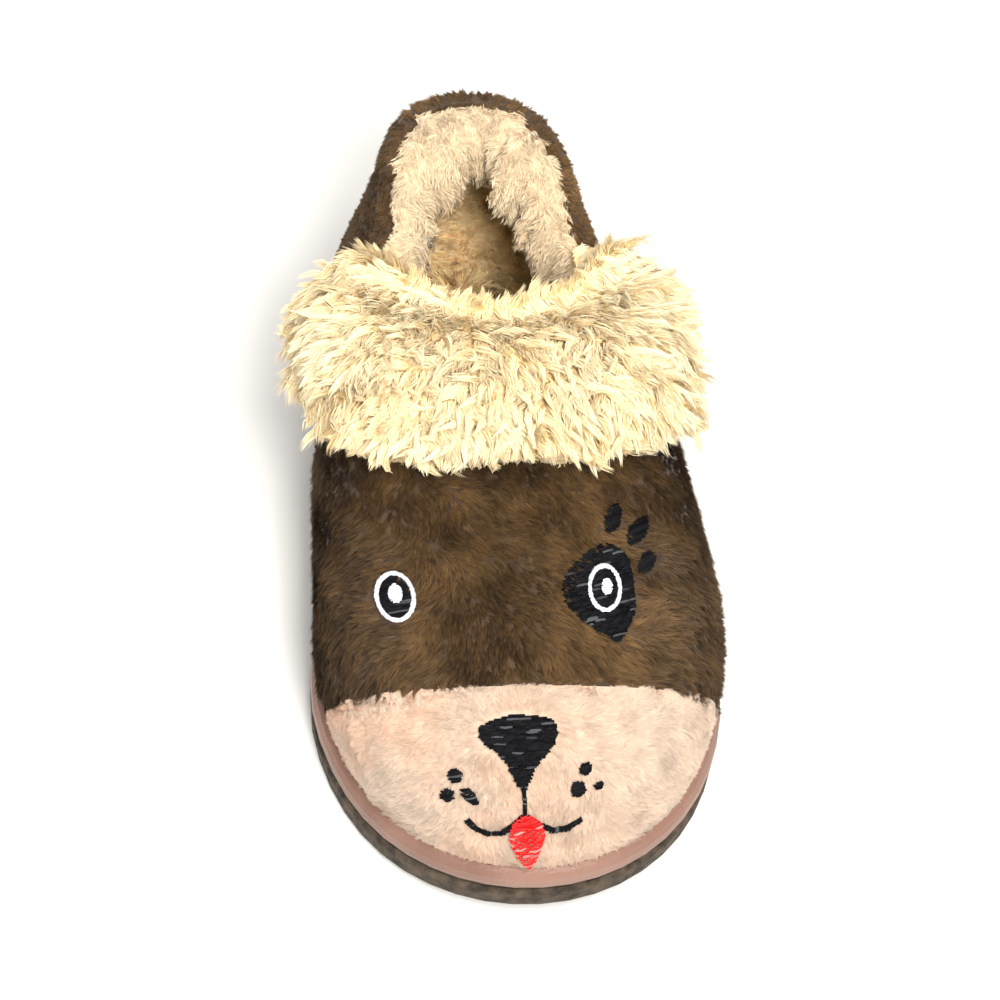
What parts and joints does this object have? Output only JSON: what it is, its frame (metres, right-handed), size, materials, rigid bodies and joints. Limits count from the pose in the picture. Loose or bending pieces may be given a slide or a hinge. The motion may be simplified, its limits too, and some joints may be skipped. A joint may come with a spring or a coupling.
{
  "type": "animal slipper",
  "caption": "Child's closed-back plush slipper with a puppy face on the toe, a deep fur cuff over the throat and a soft padded sole; left foot.",
  "frame": {"origin": "on the floor, in the middle of the slipper's outline", "axes": "toe towards -Y, heel towards +Y, up +Z, inner side of the foot towards -X"},
  "size_m": [0.0804, 0.15, 0.0669],
  "materials": {
    "outsole_rubber": "matte",
    "band_leatherette": "satin",
    "footbed_fleece": "matte",
    "brown_plush": "plush",
    "cream_plush": "plush",
    "cream_fur": "long pile"
  },
  "bodies": {
    "root": {"outsole": "outsole_rubber", "platform": "band_leatherette", "insole": "footbed_fleece", "upper": "brown_plush", "muzzle_panel": "cream_plush", "fur_cuff": "cream_fur"}
  },
  "joints": []
}
